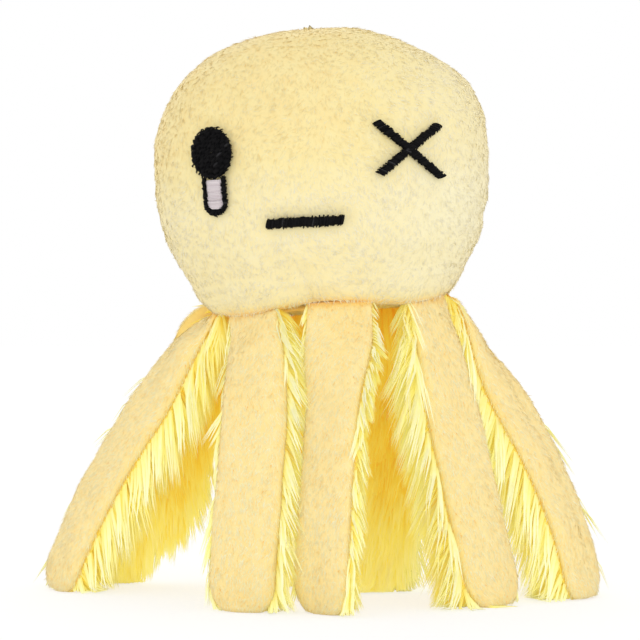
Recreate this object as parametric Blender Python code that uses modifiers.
"""A plush octopus cat toy, standing on its eight tentacles.

The head is a stuffed ball of short velvet plush: a front panel and a back panel, sewn
together over the top and down both sides, and open at the neck. An oval base panel
closes the neck. Each tentacle is two strips of plush laid back to back and seamed
along their edges, with no filling: a short velvet one outside and a long shaggy one
inside, and its upper end is caught in the neck seam. The face is stitched onto the
front panel. The toy leans a little, so the head, face and base share one tilted frame
whose origin is the middle of the neck seam.

Units are metres, +Z is up and -Y is the front.
"""

import math

import bmesh
import bpy
import numpy as np
from mathutils import Matrix, Vector

MM = 0.001

# Clearance between two pieces of cloth that touch, and between a tentacle's two strips
GAP = 0.3 * MM
STRIP_GAP = 0.5 * MM

# Head: the widest line is level with its middle
HEAD_WIDTH = 85.0 * MM
HEAD_DEPTH = 77.0 * MM
CROWN_HEIGHT = 34.5 * MM  # from the widest line up to the crown
NECK_DROP = 33.8 * MM  # from the widest line down to the neck seam
LOWER_REACH = 44.5 * MM  # where the lower half would close if the neck didn't cut it
ROUNDNESS = 2.2  # exponent of the outline: 2 is an ellipse, more is boxier
VELVET_THICKNESS = 2.4 * MM  # backing cloth and short pile together
HEAD_SEGMENTS = 36
HEAD_RINGS = 20

# Neck seam: its height above the floor, and the sideways lean of the head
NECK_HEIGHT = 73.2 * MM
HEAD_LEAN = math.radians(4.5)
BASE_THICKNESS = 2.0 * MM

# Tentacle strips
TENTACLE_WIDTH = 17.0 * MM
ROOT_WIDTH = 16.0 * MM
OUTER_CROWN = 3.6 * MM  # thickness of the velvet strip at its middle
SHAG_DEPTH = 6.6 * MM  # thickness of the shaggy strip, pile included
ROOT_THICKNESS = 1.7 * MM  # each strip where the neck seam flattens it
SHAG_OVERHANG = 1.1 * MM  # the long pile stands out past the side seams
SWELL_LENGTH = 16.0 * MM  # over which a strip grows to its full thickness
TIP_ROUNDING = 9.0 * MM
TIP_END_SHARE = 0.22  # width of the last section, as a share of the full width
FLOOR_PRESS = 0.9 * MM  # how much of each tip the floor presses flat
STRIP_BOXINESS = 2.7  # exponent of a strip's cross-section
SECTION_POINTS = 14
PLAIN_SECTIONS = 12
TIP_SECTIONS = 5

# Where the tentacles go. Azimuths are degrees from the front, positive to the right.
# root: place on the neck seam. tip: place on the floor, across and back from the neck's
# middle. facing: where the velvet side looks once it has turned. swing: which way the
# tentacle bows out. leave and land: its slope that way at the root and at the tip, as
# distance out for each unit down.
TENTACLES = {
    "front_tentacle": dict(
        root=4, tip=(-2.0 * MM, -44.0 * MM), facing=-44, swing=-5, leave=0.75, land=-0.25
    ),
    "front_left_tentacle": dict(
        root=-44, tip=(-21.0 * MM, -40.0 * MM), facing=-18, swing=5, leave=0.65, land=-0.20
    ),
    "left_tentacle": dict(
        root=-91, tip=(-69.2 * MM, 9.0 * MM), facing=-72, swing=-104, leave=0.90, land=0.32
    ),
    "back_left_tentacle": dict(
        root=-137, tip=(-55.0 * MM, 27.0 * MM), facing=-172, swing=-112, leave=1.35, land=0.65
    ),
    "back_tentacle": dict(
        root=183, tip=(-14.0 * MM, 18.0 * MM), facing=190, swing=186, leave=0.80, land=-0.55
    ),
    "back_right_tentacle": dict(
        root=143, tip=(9.0 * MM, 6.0 * MM), facing=172, swing=160, leave=0.80, land=-0.80
    ),
    "right_tentacle": dict(
        root=103, tip=(61.8 * MM, -11.0 * MM), facing=57, swing=70, leave=0.65, land=0.10
    ),
    "front_right_tentacle": dict(
        root=57, tip=(39.5 * MM, -29.0 * MM), facing=38, swing=44, leave=0.20, land=0.35
    ),
}
TURN_LENGTH = 34.0 * MM  # over which a tentacle turns from the seam to where it faces
ROOT_INSET = 2.3 * MM  # from the neck's edge in to the line where a tentacle's strips meet
ROOT_PULL = 22.0 * MM  # length over which the slope at the root shapes the curve
TIP_PULL = 26.0 * MM  # length over which the slope at the tip shapes the curve

# Face, in millimetres across and up from the head's middle, as seen from the front
THREAD_THICKNESS = 0.9 * MM
EYE_CENTRE = (-25.7 * MM, 3.3 * MM)
EYE_SIZE = (9.8 * MM, 12.6 * MM)
TEAR_WIDTH = 5.5 * MM
TEAR_HEIGHT = 8.4 * MM
TEAR_BORDER = 1.15 * MM
CROSS_CENTRE = (21.3 * MM, 0.4 * MM)
CROSS_ARM_A = (7.4 * MM, -7.0 * MM)
CROSS_ARM_B = (7.6 * MM, 5.5 * MM)
CROSS_STROKE = 2.0 * MM
MOUTH_CENTRE = (-4.8 * MM, -15.0 * MM)
MOUTH_SIZE = (18.4 * MM, 2.3 * MM)

COLOURS = {
    "head_velvet": ((0.90, 0.76, 0.36), 0.95),
    "tentacle_velvet": ((0.92, 0.76, 0.38), 0.95),
    "shag": ((0.90, 0.72, 0.14), 0.9),
    "black_thread": ((0.012, 0.011, 0.011), 0.5),
    "pale_thread": ((0.66, 0.58, 0.62), 0.5),
    "filling": ((0.85, 0.85, 0.83), 1.0),
}


def clear_scene():
    for obj in list(bpy.data.objects):
        bpy.data.objects.remove(obj)


def new_collection(name):
    collection = bpy.data.collections.new(name)
    bpy.context.scene.collection.children.link(collection)
    return collection


def new_material(name):
    colour, roughness = COLOURS[name]
    material = bpy.data.materials.new(name)
    material.use_nodes = True
    shader = material.node_tree.nodes["Principled BSDF"]
    shader.inputs["Base Color"].default_value = (*colour, 1.0)
    shader.inputs["Roughness"].default_value = roughness
    shader.inputs["Metallic"].default_value = 0.0
    material.diffuse_color = (*colour, 1.0)
    return material


def new_object(name, shape, material, parent):
    """Turns a bmesh into a smooth-shaded object of the toy."""
    bmesh.ops.recalc_face_normals(shape, faces=shape.faces)
    mesh = bpy.data.meshes.new(name)
    shape.to_mesh(mesh)
    shape.free()
    mesh.shade_smooth()
    mesh.set_sharp_from_angle(angle=math.radians(50))
    mesh.materials.append(material)
    obj = bpy.data.objects.new(name, mesh)
    toy_collection.objects.link(obj)
    obj.parent = parent
    return obj


def new_cutter(name, size, centre, parent):
    """A box that is cut away from other objects."""
    shape = bmesh.new()
    bmesh.ops.create_cube(shape, size=size)
    mesh = bpy.data.meshes.new(name)
    shape.to_mesh(mesh)
    shape.free()
    obj = bpy.data.objects.new(name, mesh)
    cutter_collection.objects.link(obj)
    obj.parent = parent
    obj.location = centre
    obj.hide_render = True
    obj.display_type = "WIRE"
    return obj


def cut_with(obj, cutter):
    cut = obj.modifiers.new("cut_" + cutter.name, "BOOLEAN")
    cut.operation = "DIFFERENCE"
    cut.object = cutter


def head_surface(direction, inset=0.0):
    """The point of the head's surface in a direction from its middle, in the neck frame.

    The surface is where |x/a|^n + |y/b|^n + |z/c|^n = 1, with one height c above the
    widest line and a longer one below it. An inset shortens every half-axis.
    """
    height = CROWN_HEIGHT if direction.z > 0 else LOWER_REACH
    half_axes = (HEAD_WIDTH / 2 - inset, HEAD_DEPTH / 2 - inset, height - inset)
    share = sum(abs(d / a) ** ROUNDNESS for d, a in zip(direction, half_axes))
    return direction * share ** (-1 / ROUNDNESS) + Vector((0, 0, NECK_DROP))


def at_neck(half_size):
    """What is left at the neck seam of half of the head's width or depth."""
    share = 1 - (NECK_DROP / LOWER_REACH) ** ROUNDNESS
    return half_size * share ** (1 / ROUNDNESS)


def ball(inset=0.0):
    """A sphere drawn out to the head's shape, or to one that lies inside it."""
    shape = bmesh.new()
    bmesh.ops.create_uvsphere(shape, u_segments=HEAD_SEGMENTS, v_segments=HEAD_RINGS, radius=1.0)
    for vertex in shape.verts:
        vertex.co = head_surface(vertex.co.copy(), inset)
    return shape


def make_head_panel(name, side):
    """Half of the head's cover. side is -1 for the front and 1 for the back."""
    panel = new_object(name, ball(), materials["head_velvet"], neck)
    wall = panel.modifiers.new("cloth", "SOLIDIFY")
    wall.thickness = VELVET_THICKNESS
    wall.offset = -1
    wall.use_even_offset = True
    cut_with(panel, neck_cutter)
    beyond_seam = -side * (CUTTER_SIZE - GAP) / 2
    cut_with(panel, new_cutter("not_" + name, CUTTER_SIZE, (0, beyond_seam, 0), neck))
    return panel


def make_filling():
    """The loose fibre that the head is stuffed with."""
    filling = new_object("head_filling", ball(VELVET_THICKNESS + 1.5 * GAP), materials["filling"], neck)
    cut_with(filling, neck_cutter)
    return filling


def make_base_panel():
    """The oval of velvet that closes the neck, inside the ring of tentacles."""
    shape = bmesh.new()
    bmesh.ops.create_cone(
        shape, cap_ends=True, segments=HEAD_SEGMENTS, radius1=1.0, radius2=1.0, depth=BASE_THICKNESS
    )
    margin = ROOT_INSET + STRIP_GAP / 2 + ROOT_THICKNESS + GAP
    bmesh.ops.scale(
        shape,
        verts=shape.verts,
        vec=(at_neck(HEAD_WIDTH / 2) - margin, at_neck(HEAD_DEPTH / 2) - margin, 1.0),
    )
    panel = new_object("base_panel", shape, materials["head_velvet"], neck)
    panel.location.z = -GAP - BASE_THICKNESS / 2
    return panel


def on_face(x, z):
    """The point of the head's front surface that is x across and z up from its middle."""
    height = CROWN_HEIGHT if z > 0 else LOWER_REACH
    share = 1 - abs(2 * x / HEAD_WIDTH) ** ROUNDNESS - abs(z / height) ** ROUNDNESS
    return Vector((x, -HEAD_DEPTH / 2 * share ** (1 / ROUNDNESS), z + NECK_DROP))


def face_normal(x, z):
    """The outward direction of the head's front surface there."""
    step = 0.5 * MM
    across = on_face(x + step, z) - on_face(x - step, z)
    up = on_face(x, z + step) - on_face(x, z - step)
    return across.cross(up).normalized()


def make_stitching(name, flat, material):
    """Bends a flat pattern, drawn in x and y, onto the face and gives it the thread's thickness."""
    for vertex in flat.verts:
        x, z = vertex.co.x, vertex.co.y
        vertex.co = on_face(x, z) + face_normal(x, z) * GAP
    for face in flat.faces:
        face.normal_update()
        if face.normal.y > 0:
            face.normal_flip()
    mesh = bpy.data.meshes.new(name)
    flat.to_mesh(mesh)
    flat.free()
    mesh.materials.append(materials[material])
    stitching = bpy.data.objects.new(name, mesh)
    toy_collection.objects.link(stitching)
    stitching.parent = neck
    thread = stitching.modifiers.new("thread", "SOLIDIFY")
    thread.thickness = THREAD_THICKNESS
    thread.offset = 1
    return stitching


def make_eye():
    """The round eye, a field of black stitches."""
    flat = bmesh.new()
    bmesh.ops.create_circle(flat, cap_ends=True, cap_tris=True, segments=24, radius=0.5)
    bmesh.ops.scale(flat, verts=flat.verts, vec=(*EYE_SIZE, 1.0))
    bmesh.ops.translate(flat, verts=flat.verts, vec=(*EYE_CENTRE, 0.0))
    return make_stitching("round_eye_stitching", flat, "black_thread")


def eye_bottom(x):
    """How low the eye reaches at x across from its middle."""
    return EYE_CENTRE[1] - EYE_SIZE[1] / 2 * math.sqrt(1 - (2 * x / EYE_SIZE[0]) ** 2)


def make_tear_border():
    """The black border of the tear: down one side, round the bottom and up the other."""
    flat = bmesh.new()
    steps = 14
    bmesh.ops.create_grid(flat, x_segments=steps, y_segments=1, size=0.5)
    round_radius = TEAR_WIDTH / 2
    straight_end = eye_bottom(0) - GAP - TEAR_HEIGHT + round_radius
    bend_share = 0.6
    for vertex in flat.verts:
        along = 2 * vertex.co.x
        radius = round_radius - (0.5 - vertex.co.y) * TEAR_BORDER
        if abs(along) < bend_share:
            angle = along / bend_share * math.pi / 2
            vertex.co = (EYE_CENTRE[0] + radius * math.sin(angle), straight_end - radius * math.cos(angle), 0)
        else:
            x = math.copysign(radius, along)
            climb = (abs(along) - bend_share) / (1 - bend_share)
            top = eye_bottom(x) - GAP
            vertex.co = (EYE_CENTRE[0] + x, straight_end + climb * (top - straight_end), 0)
    return make_stitching("tear_border_stitching", flat, "black_thread")


def make_tear():
    """The pale middle of the tear, inside its border."""
    flat = bmesh.new()
    bmesh.ops.create_grid(flat, x_segments=4, y_segments=8, size=0.5)
    half_width = TEAR_WIDTH / 2 - TEAR_BORDER - GAP
    round_centre = eye_bottom(0) - GAP - TEAR_HEIGHT + TEAR_WIDTH / 2
    for vertex in flat.verts:
        climb = vertex.co.y + 0.5
        x = 2 * vertex.co.x * half_width
        bottom = round_centre - math.sqrt(max(half_width**2 - x**2, 0.0)) * 0.98
        top = eye_bottom(x) - GAP
        vertex.co = (EYE_CENTRE[0] + x, bottom + climb * (top - bottom), 0)
    return make_stitching("tear_stitching", flat, "pale_thread")


def make_cross():
    """The crossed eye: two stitched bars that share their middle."""
    flat = bmesh.new()
    cells = 7
    bmesh.ops.create_grid(flat, x_segments=cells, y_segments=cells, size=0.5)
    corners = [
        f for f in flat.faces
        if min(abs(f.calc_center_median().x), abs(f.calc_center_median().y)) * cells > 0.5
    ]
    bmesh.ops.delete(flat, geom=corners, context="FACES")
    arm_a, arm_b = Vector(CROSS_ARM_A), Vector(CROSS_ARM_B)
    skew = abs(arm_a.normalized().cross(arm_b.normalized()))

    def along(share, arm):
        """Grid lines beside the middle lie a stroke apart, and the others are spread over the arm."""
        edge = CROSS_STROKE / 2 / skew / arm.length
        middle = 0.5 / cells
        reach = edge + (abs(share) - middle) / (0.5 - middle) * (1 - edge)
        return math.copysign(reach, share)

    for vertex in flat.verts:
        place = Vector(CROSS_CENTRE) + arm_a * along(vertex.co.x, arm_a) + arm_b * along(vertex.co.y, arm_b)
        vertex.co = (*place, 0)
    return make_stitching("crossed_eye_stitching", flat, "black_thread")


def make_mouth():
    """The mouth, one straight stitched bar."""
    flat = bmesh.new()
    bmesh.ops.create_grid(flat, x_segments=8, y_segments=1, size=0.5)
    bmesh.ops.scale(flat, verts=flat.verts, vec=(*MOUTH_SIZE, 1.0))
    bmesh.ops.translate(flat, verts=flat.verts, vec=(*MOUTH_CENTRE, 0.0))
    return make_stitching("mouth_stitching", flat, "black_thread")


def compass(azimuth):
    """The level direction at an azimuth in radians from the front, positive to the right."""
    return np.array([math.sin(azimuth), -math.cos(azimuth), 0.0])


def neck_down():
    """The direction straight out of the neck."""
    return np.array(neck_frame.to_3x3() @ Vector((0, 0, -1)))


def tentacle_root(azimuth):
    """Where a tentacle leaves the neck seam, and the level direction out of the seam there."""
    half_width = at_neck(HEAD_WIDTH / 2) - ROOT_INSET
    half_depth = at_neck(HEAD_DEPTH / 2) - ROOT_INSET
    x, y = half_width * math.sin(azimuth), -half_depth * math.cos(azimuth)
    outward = math.atan2(x / half_width**2, -y / half_depth**2)
    return Vector((x, y, -GAP)), outward


def tentacle_curve(root, tip, facing, swing, leave, land):
    """Points down a tentacle's middle, evenly spaced, and the azimuth that its velvet side faces.

    The middle is a cubic curve from the neck seam to the floor, pulled at each end along
    its slope there.
    """
    root_point, root_facing = tentacle_root(math.radians(root))
    start = np.array(neck_frame @ root_point)
    outward = compass(math.radians(swing))
    end = np.array((*tip, -FLOOR_PRESS))
    first_pull = start + ROOT_PULL * (neck_down() + leave * outward)
    last_pull = end + TIP_PULL * ((0, 0, 1) - land * outward)
    t = np.linspace(0, 1, 200)[:, None]
    curve = (
        (1 - t) ** 3 * start + 3 * (1 - t) ** 2 * t * first_pull
        + 3 * (1 - t) * t**2 * last_pull + t**3 * end
    )
    run = np.concatenate([[0], np.cumsum(np.linalg.norm(np.diff(curve, axis=0), axis=1))])
    length = run[-1]
    tip_share = TIP_ROUNDING / length
    shares = np.concatenate([
        np.linspace(0, 1 - tip_share, PLAIN_SECTIONS, endpoint=False),
        1 - tip_share * np.cos(np.linspace(0, math.pi / 2, TIP_SECTIONS)),
    ])
    points = np.stack([np.interp(shares * length, run, curve[:, i]) for i in range(3)], axis=1)
    turn = (math.radians(facing) - root_facing + math.pi) % (2 * math.pi) - math.pi
    ease = np.clip(shares * length / TURN_LENGTH, 0, 1)
    azimuths = root_facing + turn * ease**2 * (3 - 2 * ease)
    return points, shares * length, length, azimuths


def tentacle_axes(points, azimuths):
    """At each section: across (to the strip's right as it faces you) and out (velvet side)."""
    tangent = np.gradient(points, axis=0)
    tangent[0] = neck_down()
    tangent /= np.linalg.norm(tangent, axis=1, keepdims=True)
    out = np.stack([compass(a) for a in azimuths])
    out -= (out * tangent).sum(axis=1, keepdims=True) * tangent
    out /= np.linalg.norm(out, axis=1, keepdims=True)
    return np.cross(out, tangent), out


def make_strip(name, curve, side, thickness, overhang, material):
    """One strip of a tentacle. side is 1 for the velvet strip and -1 for the shaggy one.

    It is a cylinder cut into rings. Each ring is drawn out to a D, flat where the two
    strips meet and domed on the other side.
    """
    points, run, length, azimuths = curve
    across, out = tentacle_axes(points, azimuths)
    shape = bmesh.new()
    bmesh.ops.create_cone(shape, cap_ends=True, segments=SECTION_POINTS, radius1=1.0, radius2=1.0, depth=1.0)
    lengthwise = [e for e in shape.edges if abs(e.verts[0].co.z - e.verts[1].co.z) > 0.5]
    bmesh.ops.subdivide_edges(shape, edges=lengthwise, cuts=len(points) - 2)
    swell = np.clip(run / SWELL_LENGTH, 0, 1)
    swell = swell * swell * (3 - 2 * swell)
    to_end = np.clip((length - run) / TIP_ROUNDING, 0, 1)
    rounding = TIP_END_SHARE + (1 - TIP_END_SHARE) * np.sqrt(1 - (1 - to_end) ** 2)
    half_width = (ROOT_WIDTH + (TENTACLE_WIDTH - ROOT_WIDTH) * swell) / 2 + overhang * swell
    depth = ROOT_THICKNESS + (thickness - ROOT_THICKNESS) * swell
    power = 2 / STRIP_BOXINESS
    for vertex in shape.verts:
        ring = round((0.5 - vertex.co.z) * (len(points) - 1))
        angle = math.atan2(vertex.co.y, vertex.co.x)
        c, s = math.cos(angle), max(math.sin(angle), 0.0)
        sideways = math.copysign(abs(c) ** power, c) * half_width[ring] * rounding[ring]
        if math.sin(angle) < 0:
            sideways = c * half_width[ring] * rounding[ring]
        dome = side * (STRIP_GAP / 2 + s**power * depth[ring] * rounding[ring])
        vertex.co = Vector(points[ring] + across[ring] * sideways + out[ring] * dome)
    strip = new_object(name, shape, material, toy)
    cut_with(strip, floor_cutter)
    return strip


def make_tentacle(name, place):
    curve = tentacle_curve(**place)
    make_strip(name + "_velvet", curve, 1, OUTER_CROWN, 0.0, materials["tentacle_velvet"])
    make_strip(name + "_shag", curve, -1, SHAG_DEPTH, SHAG_OVERHANG, materials["shag"])


def stand_on_origin():
    """Moves the toy so that the middle of its outline on the floor is the origin."""
    bpy.context.view_layer.update()
    graph = bpy.context.evaluated_depsgraph_get()
    corners = []
    for obj in toy_collection.objects:
        if obj.type == "MESH":
            shown = obj.evaluated_get(graph)
            mesh = shown.to_mesh()
            mesh.transform(shown.matrix_world)
            corners += [v.co.copy() for v in mesh.vertices]
            shown.to_mesh_clear()
    corners = np.array(corners)
    middle = (corners.min(axis=0) + corners.max(axis=0)) / 2
    toy.location = (-middle[0], -middle[1], 0)


clear_scene()
toy_collection = new_collection("plush_octopus")
cutter_collection = new_collection("cutters")
materials = {name: new_material(name) for name in COLOURS}

toy = bpy.data.objects.new("toy", None)
toy_collection.objects.link(toy)
neck = bpy.data.objects.new("neck", None)
toy_collection.objects.link(neck)
neck.parent = toy
neck_frame = Matrix.Translation((0, 0, NECK_HEIGHT)) @ Matrix.Rotation(-HEAD_LEAN, 4, "Y")
neck.matrix_local = neck_frame

CUTTER_SIZE = 400 * MM
neck_cutter = new_cutter("below_neck", CUTTER_SIZE, (0, 0, -CUTTER_SIZE / 2), neck)
floor_cutter = new_cutter("below_floor", CUTTER_SIZE, (0, 0, -CUTTER_SIZE / 2), toy)

make_head_panel("head_front_panel", -1)
make_head_panel("head_back_panel", 1)
make_filling()
make_base_panel()
make_eye()
make_tear_border()
make_tear()
make_cross()
make_mouth()
for tentacle, place in TENTACLES.items():
    make_tentacle(tentacle, place)
stand_on_origin()
